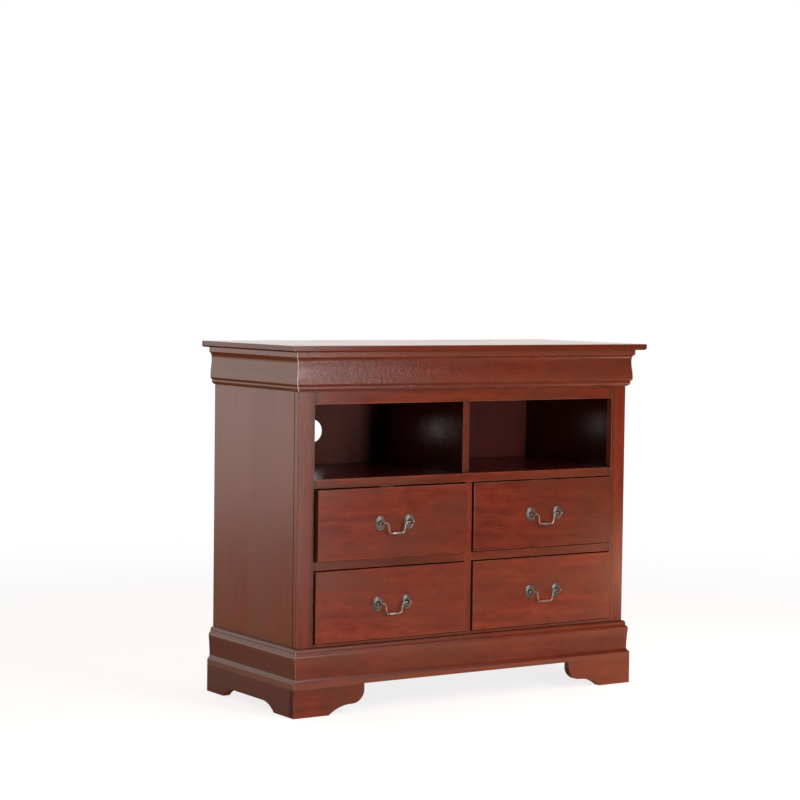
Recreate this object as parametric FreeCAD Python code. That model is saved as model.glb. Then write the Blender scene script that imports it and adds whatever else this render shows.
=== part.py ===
"""A free-standing cherry television chest: two open bays over four drawers.

Millimetres, +Z up. The origin is on the floor, at the middle of the outline.
-Y is the front, +X is to the right of someone facing the chest.
"""
import FreeCAD, Part

import math
import os

from FreeCAD import Vector

# Overall size
WIDTH = 1066.0
DEPTH = 455.0
HEIGHT = 889.0

# Boards
TOP_THICKNESS = 15.5
TOP_OVERHANG = 38.0
TOP_CHAMFER = 3.5
PANEL_THICKNESS = 18.0
FRAME_THICKNESS = 20.0
BACK_THICKNESS = 6.0
HOUSING_DEPTH = 6.0
RABBET_WIDTH = 10.0
EASED_EDGE = 1.2

# Face frame: widths of its members and the heights of their edges
STILE_WIDTH = 45.0
CENTRE_STILE_WIDTH = 19.0
TOP_RAIL_UNDERSIDE = 747.5
SHELF_TOP = 567.5
SHELF_RAIL_UNDERSIDE = 546.0
DRAWER_RAIL_TOP = 369.5
DRAWER_RAIL_UNDERSIDE = 349.0
BOTTOM_RAIL_TOP = 170.4
BOTTOM_RAIL_UNDERSIDE = 100.0
DIVIDER_THICKNESS = 20.0
DIVIDER_SETBACK = 15.0

# Cornice and base mouldings: heights of their top and bottom edges
CORNICE_BOTTOM = 779.0
BASE_TOP = 163.3
BASE_BOTTOM = 69.5

# Feet
FOOT_PROJECTION = 16.0
BRACKET_THICKNESS = 20.0
LOBE_HEIGHT = 22.5
COVE_RADIUS = 33.5
FRONT_TOE = 99.0
FRONT_LOBE_RUN = 64.0
FRONT_BRACKET = 199.5
SIDE_TOE = 94.0
REAR_TOE = 84.0
SIDE_LOBE_RUN = 56.0

# Glue blocks
BLOCK_SIZE = 30.0
BLOCK_LENGTH = 67.5

# Cable holes in the back
CABLE_HOLE_RADIUS = 30.0
CABLE_HOLE_FROM_CENTRE = 209.0
CABLE_HOLE_ABOVE_SHELF = 85.5

# Drawers
FRONT_THICKNESS = 20.0
FRONT_PROUD = 7.0
SIDE_GAP = 3.0
EDGE_GAP = 2.5
BOX_WIDTH = 427.0
BOX_HEIGHT = 150.0
BOX_WALL = 12.0
BOX_REAR_CLEARANCE = 4.0
RUNNING_CLEARANCE = 1.0
BOTTOM_THICKNESS = 5.0
BOTTOM_HEIGHT = 10.0
GROOVE_DEPTH = 5.0
TAIL_COUNT = 4
TAIL_LENGTH = 12.0
TAIL_NECK_SHARE = 0.54
TAIL_TIP_SHARE = 0.72
TRAVEL = 340.0
UPPER_LEFT_AJAR = 8.0

# Drawer track and guide
TRACK_HEAD_WIDTH = 26.0
TRACK_HEAD_THICKNESS = 5.0
TRACK_STEM_WIDTH = 13.0
TRACK_DROP = 11.0
GUIDE_CLEARANCE = 0.5
GUIDE_WIDTH = 50.0
GUIDE_LENGTH = 20.0
GUIDE_FLANGE = 3.0
GUIDE_FLANGE_HEIGHT = 35.0
STOP_WIDTH = 40.0
STOP_HANG = 12.0

# Pulls
PULL_SPAN = 84.0
ROSETTE_WIDTH = 29.0
ROSETTE_HEIGHT = 36.0
ROSETTE_RIM = 1.0
ROSETTE_THICKNESS = 3.0
ROSETTE_CROWN = 0.62
ROSETTE_SIDES = 24
POST_REACH = 11.0
POST_KNOB_RADIUS = 4.4
POST_KNOB_FLAT = 0.45
POST_NECK_RADIUS = 2.5
POST_FOOT_RADIUS = 3.8
POST_SIDES = 14
STUD_RADIUS = 2.0
STUD_PAST_NUT = 1.5
STUD_HOLE_RADIUS = 2.3
LOOSE_HOLE_SIDES = 12
NUT_ACROSS_CORNERS = 9.2
NUT_THICKNESS = 4.0
NUT_SIDES = 6
WIRE_RADIUS = 2.0
PIN_CLEARANCE = 0.08
BAIL_DROP = 26.0
BAIL_SHOULDER = 25.3
BAIL_FOOT = 21.5
BAIL_TIP = 6.5
BAIL_TIP_RADIUS = 2.7
BAIL_SWELL_RADIUS = 3.0
BAIL_SWELL_HALF = 12.0
BAIL_SHOULDER_BEND = 6.5
BAIL_FOOT_BEND = 8.5
WIRE_SIDES = 10
BEND_CHORDS = 4

# Worked out from the sizes above
CASE_WIDTH = WIDTH - 2 * TOP_OVERHANG
CASE_SIDE = CASE_WIDTH / 2
PANEL_INSIDE = CASE_SIDE - PANEL_THICKNESS
STILE_INSIDE = CASE_SIDE - STILE_WIDTH
CENTRE_HALF = CENTRE_STILE_WIDTH / 2
BACK = DEPTH / 2
FRONT = -DEPTH / 2 + TOP_OVERHANG
FRAME_BACK = FRONT + FRAME_THICKNESS
BACK_INSIDE = BACK - BACK_THICKNESS
TOP_UNDERSIDE = HEIGHT - TOP_THICKNESS
OPENING_CENTRE = (STILE_INSIDE + CENTRE_HALF) / 2
OPENING_WIDTH = STILE_INSIDE - CENTRE_HALF
CASE_BOTTOM_TOP = BOTTOM_RAIL_TOP - TRACK_DROP
DRAWER_FACE = FRONT - FRONT_PROUD
BOX_FRONT = DRAWER_FACE + FRONT_THICKNESS
BOX_REAR = BACK_INSIDE - BOX_REAR_CLEARANCE

LEFT = -1
RIGHT = 1
SAME_PLACE = 0.01


def board(x_range, y_range, z_range):
    """A rectangular board between three pairs of faces."""
    low = Vector(min(x_range), min(y_range), min(z_range))
    size = [abs(pair[1] - pair[0]) for pair in (x_range, y_range, z_range)]
    return Part.makeBox(size[0], size[1], size[2], low)


def prism(corners, direction):
    """A solid pushed out from a flat polygon."""
    wire = Part.makePolygon(corners + [corners[0]])
    return Part.Face(wire).extrude(direction)


def outline_face(start, steps, place):
    """A flat face from a start point and steps.

    A step (a, b) is a straight line to that point. A step (a, b, c, d) is an arc through
    (a, b) that ends at (c, d). place turns a pair into a point in space.
    """
    edges = []
    here = start
    for step in steps:
        end = step[-2:]
        if len(step) == 2:
            edges.append(Part.LineSegment(place(*here), place(*end)).toShape())
        else:
            edges.append(Part.Arc(place(*here), place(*step[:2]), place(*end)).toShape())
        here = end
    if here != start:
        edges.append(Part.LineSegment(place(*here), place(*start)).toShape())
    return Part.Face(Part.Wire(edges))


def chamfered(shape, size, chosen):
    """Chamfers the straight edges for which chosen(middle, direction) is true."""
    edges = []
    for edge in shape.Edges:
        ends = [vertex.Point for vertex in edge.Vertexes]
        middle = (ends[0] + ends[1]) * 0.5
        if chosen(middle, ends[1] - ends[0]):
            edges.append(edge)
    return shape.makeChamfer(size, edges)


# ---------------------------------------------------------------- case boards

def top_board():
    """The top: overhangs the front and sides, flush at the back, chamfered underneath."""
    shape = board((-WIDTH / 2, WIDTH / 2), (-DEPTH / 2, BACK), (TOP_UNDERSIDE, HEIGHT))

    def under_edge(middle, _):
        return abs(middle.z - TOP_UNDERSIDE) < SAME_PLACE and middle.y < BACK - SAME_PLACE

    def upper_edge(middle, _):
        return abs(middle.z - HEIGHT) < SAME_PLACE and middle.y < BACK - SAME_PLACE

    shape = chamfered(shape, TOP_CHAMFER, under_edge)
    return chamfered(shape, EASED_EDGE, upper_edge)


def side_panel(side):
    """A case side: housed for the shelf and bottom, rabbeted for the back."""
    panel = board((side * PANEL_INSIDE, side * CASE_SIDE), (FRAME_BACK, BACK),
                  (BASE_BOTTOM, TOP_UNDERSIDE))

    def front_corner(middle, direction):
        return (abs(direction.z) > 1 and abs(middle.y - FRAME_BACK) < SAME_PLACE
                and abs(abs(middle.x) - CASE_SIDE) < SAME_PLACE)

    panel = chamfered(panel, EASED_EDGE, front_corner)
    back_rabbet = board((side * PANEL_INSIDE, side * (PANEL_INSIDE + RABBET_WIDTH)),
                        (BACK_INSIDE, BACK), (BOTTOM_RAIL_UNDERSIDE, TOP_UNDERSIDE))
    return panel.cut([shelf_board(), case_bottom(), back_rabbet])


def stile(side):
    """An outer upright of the face frame, eased where it meets the side panel."""
    shape = board((side * STILE_INSIDE, side * CASE_SIDE), (FRONT, FRAME_BACK),
                  (BASE_BOTTOM, TOP_UNDERSIDE))

    def outer_corner(middle, direction):
        return abs(direction.z) > 1 and abs(abs(middle.x) - CASE_SIDE) < SAME_PLACE

    return chamfered(shape, EASED_EDGE, outer_corner)


def frame_rail(x_range, underside, top):
    """A horizontal member of the face frame."""
    return board(x_range, (FRONT, FRAME_BACK), (underside, top))


def housed_board(top):
    """A full-depth board whose lower half runs on as tongues into the side panels."""
    tongue = top - PANEL_THICKNESS / 2
    reach = PANEL_INSIDE + HOUSING_DEPTH
    between = board((-PANEL_INSIDE, PANEL_INSIDE), (FRAME_BACK, BACK_INSIDE),
                    (top - PANEL_THICKNESS, top))
    tongues = board((-reach, reach), (FRAME_BACK, BACK_INSIDE), (top - PANEL_THICKNESS, tongue))
    return between.fuse(tongues).removeSplitter()


def shelf_board():
    """The floor of the bays, grooved across its middle for the bay divider."""
    half = DIVIDER_THICKNESS / 2
    groove = board((-half, half), (FRAME_BACK, BACK_INSIDE), (SHELF_TOP - HOUSING_DEPTH, SHELF_TOP))
    return housed_board(SHELF_TOP).cut(groove)


def case_bottom():
    """The bottom board, which carries the lower drawer tracks."""
    return housed_board(CASE_BOTTOM_TOP)


def bay_divider():
    """The upright between the bays: let into the shelf, notched round both rails, set back."""
    half = DIVIDER_THICKNESS / 2
    upright = board((-half, half), (FRONT + DIVIDER_SETBACK, BACK_INSIDE),
                    (SHELF_TOP - HOUSING_DEPTH, TOP_UNDERSIDE))
    full = (-STILE_INSIDE, STILE_INSIDE)
    return upright.cut([frame_rail(full, TOP_RAIL_UNDERSIDE, TOP_UNDERSIDE),
                        frame_rail(full, SHELF_RAIL_UNDERSIDE, SHELF_TOP)])


def drawer_partition():
    """The upright between the two banks of drawers."""
    half = PANEL_THICKNESS / 2
    return board((-half, half), (FRAME_BACK, BACK_INSIDE),
                 (CASE_BOTTOM_TOP, SHELF_TOP - PANEL_THICKNESS))


def back_panel():
    """The back, let into the sides' rabbets, with a cable hole in each bay."""
    reach = PANEL_INSIDE + RABBET_WIDTH
    panel = board((-reach, reach), (BACK_INSIDE, BACK), (BOTTOM_RAIL_UNDERSIDE, TOP_UNDERSIDE))
    holes = []
    for side in (LEFT, RIGHT):
        centre = Vector(side * CABLE_HOLE_FROM_CENTRE, BACK_INSIDE,
                        SHELF_TOP + CABLE_HOLE_ABOVE_SHELF)
        holes.append(Part.makeCylinder(CABLE_HOLE_RADIUS, BACK_THICKNESS, centre,
                                       Vector(0, 1, 0)))
    return panel.cut(holes)


def glue_blocks():
    """Eight blocks: one in each foot corner and four that hold the top."""
    blocks = []
    foot_x = CASE_SIDE + FOOT_PROJECTION - BRACKET_THICKNESS
    foot_y = FRONT - FOOT_PROJECTION + BRACKET_THICKNESS
    for side in (LEFT, RIGHT):
        for near in (foot_y, BACK_INSIDE - BLOCK_SIZE):
            blocks.append(board((side * foot_x, side * (foot_x - BLOCK_SIZE)),
                                (near, near + BLOCK_SIZE),
                                (BASE_BOTTOM - BLOCK_LENGTH, BASE_BOTTOM)))
        for near in (FRAME_BACK, BACK_INSIDE - BLOCK_LENGTH):
            blocks.append(board((side * PANEL_INSIDE, side * (PANEL_INSIDE - BLOCK_SIZE)),
                                (near, near + BLOCK_LENGTH),
                                (TOP_UNDERSIDE - BLOCK_SIZE, TOP_UNDERSIDE)))
    return blocks


# ---------------------------------------------------------------- mouldings

def cornice_outline():
    """The cornice in (projection, height): fillet, cove, shallow ogee and a bead."""
    top = TOP_UNDERSIDE
    fillet = 17.3
    start = (0.0, top)
    steps = [
        (fillet, top),
        (fillet, top - 12.5),
        (16.0, top - 13.5),
        (12.8, top - 16.8, 11.0, top - 22.0),
        (10.5, top - 26.0),
        (10.6, top - 36.0, 12.1, top - 52.0),
        (13.3, top - 66.0, 13.5, top - 77.0),
        (11.8, top - 79.5),
        (8.6, top - 82.8),
        (9.2, top - 87.2, 7.4, top - 91.4),
        (4.0, top - 92.8),
        (4.0, CORNICE_BOTTOM),
        (0.0, CORNICE_BOTTOM),
    ]
    return start, steps


def base_outline():
    """The base in (projection, height): bead, quirk, slope, long cove and a foot fascia."""
    foot = FOOT_PROJECTION
    start = (0.0, BASE_TOP)
    steps = [
        (1.9, BASE_TOP),
        (6.3, BASE_TOP - 2.8, 7.4, BASE_TOP - 9.0),
        (7.9, BASE_TOP - 11.8),
        (10.2, BASE_TOP - 14.6, 12.4, BASE_TOP - 18.3),
        (12.6, BASE_TOP - 21.0),
        (10.7, BASE_TOP - 46.0, 9.7, BASE_TOP - 71.3),
        (11.3, BASE_TOP - 76.2, foot, BASE_TOP - 80.9),
        (foot, BASE_BOTTOM),
        (0.0, BASE_BOTTOM),
    ]
    return start, steps


def front_moulding(outline):
    """A length along the front, with both ends cut to a mitre."""
    start, steps = outline
    far = CASE_SIDE + TOP_OVERHANG

    def place(projection, height):
        return Vector(-far, FRONT - projection, height)

    length = outline_face(start, steps, place).extrude(Vector(2 * far, 0, 0))
    keep = [Vector(-CASE_SIDE, FRONT, 0), Vector(CASE_SIDE, FRONT, 0),
            Vector(far, FRONT - TOP_OVERHANG, 0), Vector(-far, FRONT - TOP_OVERHANG, 0)]
    return length.common(prism(keep, Vector(0, 0, HEIGHT)))


def side_moulding(outline, side):
    """A length along one side, mitred at the front and square at the back."""
    start, steps = outline
    near = FRONT - TOP_OVERHANG

    def place(projection, height):
        return Vector(side * (CASE_SIDE + projection), near, height)

    length = outline_face(start, steps, place).extrude(Vector(0, BACK - near, 0))
    far = side * (CASE_SIDE + TOP_OVERHANG)
    keep = [Vector(side * CASE_SIDE, FRONT, 0), Vector(side * CASE_SIDE, BACK, 0),
            Vector(far, BACK, 0), Vector(far, near, 0)]
    return length.common(prism(keep, Vector(0, 0, HEIGHT)))


# ---------------------------------------------------------------- feet

def lobe_middle(run):
    """A point half way along the arc that rises run by LOBE_HEIGHT and ends level."""
    radius = (run ** 2 + LOBE_HEIGHT ** 2) / (2 * LOBE_HEIGHT)
    return run / 2, LOBE_HEIGHT - radius + math.sqrt(radius ** 2 - (run / 2) ** 2)


def front_bracket(side):
    """A front bracket foot: toe, lobe and cove, scroll-cut from one board."""
    corner = CASE_SIDE + FOOT_PROJECTION
    end = corner - FRONT_BRACKET
    cove_start = end + COVE_RADIUS
    diagonal = COVE_RADIUS * (1 - math.sqrt(0.5))
    half_run, half_rise = lobe_middle(FRONT_LOBE_RUN)
    toe_end = corner - FRONT_TOE
    lobe_end = toe_end - FRONT_LOBE_RUN

    def place(distance, height):
        return Vector(side * distance, FRONT - FOOT_PROJECTION, height)

    steps = [
        (toe_end, 0.0),
        (toe_end - FRONT_LOBE_RUN + half_run, half_rise, lobe_end, LOBE_HEIGHT),
        (cove_start, LOBE_HEIGHT),
        (end + diagonal, LOBE_HEIGHT + diagonal, end, LOBE_HEIGHT + COVE_RADIUS),
        (end, BASE_BOTTOM),
        (corner, BASE_BOTTOM),
    ]
    return outline_face((corner, 0.0), steps, place).extrude(Vector(0, BRACKET_THICKNESS, 0))


def side_apron(side):
    """A side apron with both its feet, cut from one board behind the front bracket."""
    outer = side * (CASE_SIDE + FOOT_PROJECTION)
    near = FRONT - FOOT_PROJECTION + BRACKET_THICKNESS
    toe_end = FRONT - FOOT_PROJECTION + SIDE_TOE
    rear_toe = BACK - REAR_TOE
    half_run, half_rise = lobe_middle(SIDE_LOBE_RUN)

    def place(distance, height):
        return Vector(outer, distance, height)

    steps = [
        (toe_end, 0.0),
        (toe_end + half_run, half_rise, toe_end + SIDE_LOBE_RUN, LOBE_HEIGHT),
        (rear_toe - SIDE_LOBE_RUN, LOBE_HEIGHT),
        (rear_toe - half_run, half_rise, rear_toe, 0.0),
        (BACK, 0.0),
        (BACK, BASE_BOTTOM),
        (near, BASE_BOTTOM),
    ]
    face = outline_face((near, 0.0), steps, place)
    return face.extrude(Vector(-side * BRACKET_THICKNESS, 0, 0))


# ---------------------------------------------------------------- drawer running gear

def drawer_track(centre, rail_top):
    """A T-section track from the rail in front to the back panel."""
    foot = rail_top - TRACK_DROP
    head_top = rail_top + RUNNING_CLEARANCE + BOTTOM_HEIGHT - 3 * GUIDE_CLEARANCE
    head_foot = head_top - TRACK_HEAD_THICKNESS
    stem = board((centre - TRACK_STEM_WIDTH / 2, centre + TRACK_STEM_WIDTH / 2),
                 (FRAME_BACK, BACK_INSIDE), (foot, head_foot))
    head = board((centre - TRACK_HEAD_WIDTH / 2, centre + TRACK_HEAD_WIDTH / 2),
                 (FRAME_BACK, BACK_INSIDE), (head_foot, head_top))
    return stem.fuse(head).removeSplitter()


def drawer_stop(centre, rail_top, ceiling):
    """A block behind the rail above a drawer, which catches the drawer's back."""
    box_top = rail_top + RUNNING_CLEARANCE + BOX_HEIGHT
    inner_back = BOX_REAR - BOX_WALL
    rear = inner_back - TRAVEL - RUNNING_CLEARANCE
    return board((centre - STOP_WIDTH / 2, centre + STOP_WIDTH / 2), (FRAME_BACK, rear),
                 (box_top - STOP_HANG, ceiling))


# ---------------------------------------------------------------- drawers

def tails(x_range, shoulder, tip, z_range):
    """A row of dovetail tails, wider at the tip than at the shoulder."""
    pitch = (z_range[1] - z_range[0]) / TAIL_COUNT
    narrow = TAIL_NECK_SHARE * pitch / 2
    wide = TAIL_TIP_SHARE * pitch / 2
    row = []
    for index in range(TAIL_COUNT):
        middle = z_range[0] + (index + 0.5) * pitch
        corners = [Vector(x_range[0], shoulder, middle - narrow),
                   Vector(x_range[0], tip, middle - wide),
                   Vector(x_range[0], tip, middle + wide),
                   Vector(x_range[0], shoulder, middle + narrow)]
        row.append(prism(corners, Vector(x_range[1] - x_range[0], 0, 0)))
    return row


def pull(centre, height, face):
    """The fixed pieces of a pull: two rosettes, two posts with studs and two nuts."""
    pieces = []
    for side in (LEFT, RIGHT):
        middle = centre + side * PULL_SPAN / 2
        pieces.append(rosette(middle, height, face))
        pieces.append(post(middle, height, face))
        pieces.append(nut(middle, height, face + FRONT_THICKNESS))
    return pieces


def facing_ring(centre, depth, height, wide, tall, sides):
    """Corners of a round or oval outline parallel to the drawer front."""
    corners = []
    for index in range(sides):
        angle = 2 * math.pi * index / sides
        corners.append(Vector(centre + wide * math.cos(angle), depth,
                              height + tall * math.sin(angle)))
    return corners


def faceted(rings):
    """A solid with flat faces through rings of corners, closed at both ends."""
    faces = []
    for ring in (rings[0], rings[-1]):
        faces.append(Part.Face(Part.makePolygon(ring + [ring[0]])))
    for near, far in zip(rings, rings[1:]):
        for index in range(len(near)):
            after = (index + 1) % len(near)
            corners = [near[index], near[after], far[after], far[index], near[index]]
            faces.append(Part.Face(Part.makePolygon(corners)))
    solid = Part.Solid(Part.Shell(faces))
    if solid.Volume < 0:
        solid.reverse()
    return solid


def stud_hole(centre, height, start, end):
    """The hole for a stud through a pull's loose pieces, just clear of the stud's corners."""
    radius = STUD_RADIUS / math.cos(math.pi / LOOSE_HOLE_SIDES)
    return faceted([facing_ring(centre, depth, height, radius, radius, LOOSE_HOLE_SIDES)
                    for depth in (start, end)])


def rosette(centre, height, face):
    """An oval plate with a thin rim and a raised crown."""
    wide = ROSETTE_WIDTH / 2
    tall = ROSETTE_HEIGHT / 2
    rings = []
    for reach, scale in ((0.0, 1.0), (ROSETTE_RIM, 1.0), (ROSETTE_THICKNESS, ROSETTE_CROWN)):
        rings.append(facing_ring(centre, face - reach, height, scale * wide, scale * tall,
                                 ROSETTE_SIDES))
    return faceted(rings).cut(stud_hole(centre, height, face + 1, face - ROSETTE_THICKNESS - 1))


def post(centre, height, face):
    """A turned post: stud, tapered neck and a knob that is cross-drilled for the bail."""
    knob = POST_KNOB_RADIUS
    flat = POST_KNOB_FLAT * knob
    profile = [
        (STUD_RADIUS, -FRONT_THICKNESS - NUT_THICKNESS - STUD_PAST_NUT),
        (STUD_RADIUS, ROSETTE_THICKNESS),
        (POST_FOOT_RADIUS, ROSETTE_THICKNESS),
        (POST_NECK_RADIUS, POST_REACH - knob),
        (knob, POST_REACH - flat),
        (knob, POST_REACH + flat),
        (flat, POST_REACH + knob),
    ]
    rings = []
    for radius, reach in profile:
        rings.append(facing_ring(centre, face - reach, height, radius, radius, POST_SIDES))
    bore = Part.makeCylinder(WIRE_RADIUS + PIN_CLEARANCE, 4 * knob,
                             Vector(centre - 2 * knob, face - POST_REACH, height),
                             Vector(1, 0, 0))
    return faceted(rings).cut(bore)


def nut(centre, height, back_face):
    """A hexagonal nut on the stud, inside the drawer."""
    radius = NUT_ACROSS_CORNERS / 2
    rings = []
    for depth in (back_face, back_face + NUT_THICKNESS):
        rings.append(facing_ring(centre, depth, height, radius, radius, NUT_SIDES))
    hole = stud_hole(centre, height, back_face - 1, back_face + NUT_THICKNESS + 1)
    return faceted(rings).cut(hole)


def bend_points(before, corner, after, radius):
    """Points along the bend at a corner of a route of (across, up) pairs."""
    back = Vector(before[0] - corner[0], 0, before[1] - corner[1]).normalize()
    ahead = Vector(after[0] - corner[0], 0, after[1] - corner[1]).normalize()
    turn = math.pi - back.getAngle(ahead)
    bisector = (back + ahead).normalize()
    centre = Vector(corner[0], 0, corner[1]) + bisector * (radius / math.cos(turn / 2))
    axis = ahead.cross(back)
    spoke = bisector * -radius
    points = []
    for index in range(BEND_CHORDS + 1):
        angle = turn * (index / BEND_CHORDS - 0.5)
        point = centre + FreeCAD.Rotation(axis, math.degrees(angle)).multVec(spoke)
        points.append((point.x, point.z))
    return points


def bail_stations():
    """The left half of the bail's route as (across, up, wire radius), from its tip."""
    tip = PULL_SPAN / 2 + BAIL_TIP
    shoulder = (-BAIL_SHOULDER, 0.0)
    foot = (-BAIL_FOOT, -BAIL_DROP)
    stations = [
        (-tip - 2.2, 0.0, 0.55 * BAIL_TIP_RADIUS),
        (-tip - 1.0, 0.0, BAIL_TIP_RADIUS),
        (-tip + 0.6, 0.0, BAIL_TIP_RADIUS),
        (-tip + 1.6, 0.0, WIRE_RADIUS),
    ]
    for point in bend_points((-tip, 0.0), shoulder, foot, BAIL_SHOULDER_BEND):
        stations.append(point + (WIRE_RADIUS,))
    for point in bend_points(shoulder, foot, (BAIL_FOOT, -BAIL_DROP), BAIL_FOOT_BEND):
        stations.append(point + (WIRE_RADIUS,))
    stations.append((-BAIL_SWELL_HALF, -BAIL_DROP, WIRE_RADIUS))
    stations.append((-0.5 * BAIL_SWELL_HALF, -BAIL_DROP, 0.93 * BAIL_SWELL_RADIUS))
    return stations


def pull_bail(centre, height, face):
    """A swan-neck bail: round wire, swollen in the middle, with tips outside the posts."""
    left = bail_stations()
    right = [(-across, up, radius) for across, up, radius in reversed(left)]
    stations = left + [(0.0, -BAIL_DROP, BAIL_SWELL_RADIUS)] + right
    rings = []
    for index, (across, up, radius) in enumerate(stations):
        before = stations[max(index - 1, 0)]
        after = stations[min(index + 1, len(stations) - 1)]
        into = Vector(across - before[0], 0, up - before[1])
        out = Vector(after[0] - across, 0, after[1] - up)
        if into.Length == 0:
            into = out
        if out.Length == 0:
            out = into
        tangent = into.normalize() + out.normalize()
        stretch = 2.0 / tangent.Length
        normal = tangent.normalize().cross(Vector(0, 1, 0))
        middle = Vector(centre + across, face - POST_REACH, height + up)
        ring = []
        for side in range(WIRE_SIDES):
            angle = 2 * math.pi * side / WIRE_SIDES
            ring.append(middle + normal * (stretch * radius * math.cos(angle))
                        + Vector(0, radius * math.sin(angle), 0))
        rings.append(ring)
    return faceted(rings)


def drawer(side, rail_top, ceiling, ajar):
    """All the pieces of one drawer, in a dictionary by short name."""
    centre = side * OPENING_CENTRE
    half_front = OPENING_WIDTH / 2 - SIDE_GAP
    half_box = BOX_WIDTH / 2
    half_inside = half_box - BOX_WALL
    foot = rail_top + RUNNING_CLEARANCE
    box_top = foot + BOX_HEIGHT
    floor = foot + BOTTOM_HEIGHT
    floor_top = floor + BOTTOM_THICKNESS
    pull_height = (rail_top + ceiling) / 2

    bottom = board((centre - half_inside - GROOVE_DEPTH, centre + half_inside + GROOVE_DEPTH),
                   (BOX_FRONT - GROOVE_DEPTH, BOX_REAR), (floor, floor_top))
    sides = []
    all_tails = []
    for hand in (LEFT, RIGHT):
        x_range = (centre + hand * half_inside, centre + hand * half_box)
        front_tails = tails(x_range, BOX_FRONT, BOX_FRONT - TAIL_LENGTH, (foot, box_top))
        rear_tails = tails(x_range, BOX_REAR - BOX_WALL, BOX_REAR, (floor_top, box_top))
        plain = board(x_range, (BOX_FRONT, BOX_REAR - BOX_WALL), (foot, box_top))
        sides.append(plain.fuse(front_tails + rear_tails).removeSplitter().cut(bottom))
        all_tails += front_tails + rear_tails

    front = board((centre - half_front, centre + half_front), (DRAWER_FACE, BOX_FRONT),
                  (rail_top + EDGE_GAP, ceiling - EDGE_GAP))
    front = chamfered(front, EASED_EDGE, lambda middle, _: abs(middle.y - DRAWER_FACE) < SAME_PLACE)
    stud_holes = []
    for hand in (LEFT, RIGHT):
        at = Vector(centre + hand * PULL_SPAN / 2, DRAWER_FACE, pull_height)
        stud_holes.append(Part.makeCylinder(STUD_HOLE_RADIUS, FRONT_THICKNESS, at, Vector(0, 1, 0)))
    back = board((centre - half_box, centre + half_box), (BOX_REAR - BOX_WALL, BOX_REAR),
                 (floor_top, box_top))
    pieces = {
        "front": front.cut(all_tails + [bottom] + stud_holes),
        "left_side": sides[0],
        "right_side": sides[1],
        "back": back.cut(all_tails),
        "bottom": bottom,
        "guide": rear_guide(centre, foot, floor),
        "pull_mounts": Part.makeCompound(pull(centre, pull_height, DRAWER_FACE)),
        "pull_bail": pull_bail(centre, pull_height, DRAWER_FACE),
    }
    for shape in pieces.values():
        shape.translate(Vector(0, -ajar, 0))
    return pieces


def rear_guide(centre, foot, floor):
    """A moulded guide that hooks under the track's head, with a flange up the drawer back."""
    lip = foot - RUNNING_CLEARANCE
    body = board((centre - GUIDE_WIDTH / 2, centre + GUIDE_WIDTH / 2),
                 (BOX_REAR - GUIDE_LENGTH, BOX_REAR), (lip, floor))
    flange = board((centre - GUIDE_WIDTH / 2, centre + GUIDE_WIDTH / 2),
                   (BOX_REAR, BOX_REAR + GUIDE_FLANGE), (lip, floor + GUIDE_FLANGE_HEIGHT))
    head_top = floor - 3 * GUIDE_CLEARANCE
    head_half = TRACK_HEAD_WIDTH / 2 + GUIDE_CLEARANCE
    stem_half = TRACK_STEM_WIDTH / 2 + GUIDE_CLEARANCE
    run = (BOX_REAR - GUIDE_LENGTH, BOX_REAR + GUIDE_FLANGE)
    head_foot = head_top - TRACK_HEAD_THICKNESS
    head_slot = board((centre - head_half, centre + head_half), run,
                      (head_foot - GUIDE_CLEARANCE, head_top + GUIDE_CLEARANCE))
    stem_slot = board((centre - stem_half, centre + stem_half), run, (lip, head_foot))
    return body.fuse(flange).cut([head_slot, stem_slot]).removeSplitter()


# ---------------------------------------------------------------- assembly

DRAWERS = {
    "upper_left": (LEFT, DRAWER_RAIL_TOP, SHELF_RAIL_UNDERSIDE, UPPER_LEFT_AJAR),
    "upper_right": (RIGHT, DRAWER_RAIL_TOP, SHELF_RAIL_UNDERSIDE, 0.0),
    "lower_left": (LEFT, BOTTOM_RAIL_TOP, DRAWER_RAIL_UNDERSIDE, 0.0),
    "lower_right": (RIGHT, BOTTOM_RAIL_TOP, DRAWER_RAIL_UNDERSIDE, 0.0),
}


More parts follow.
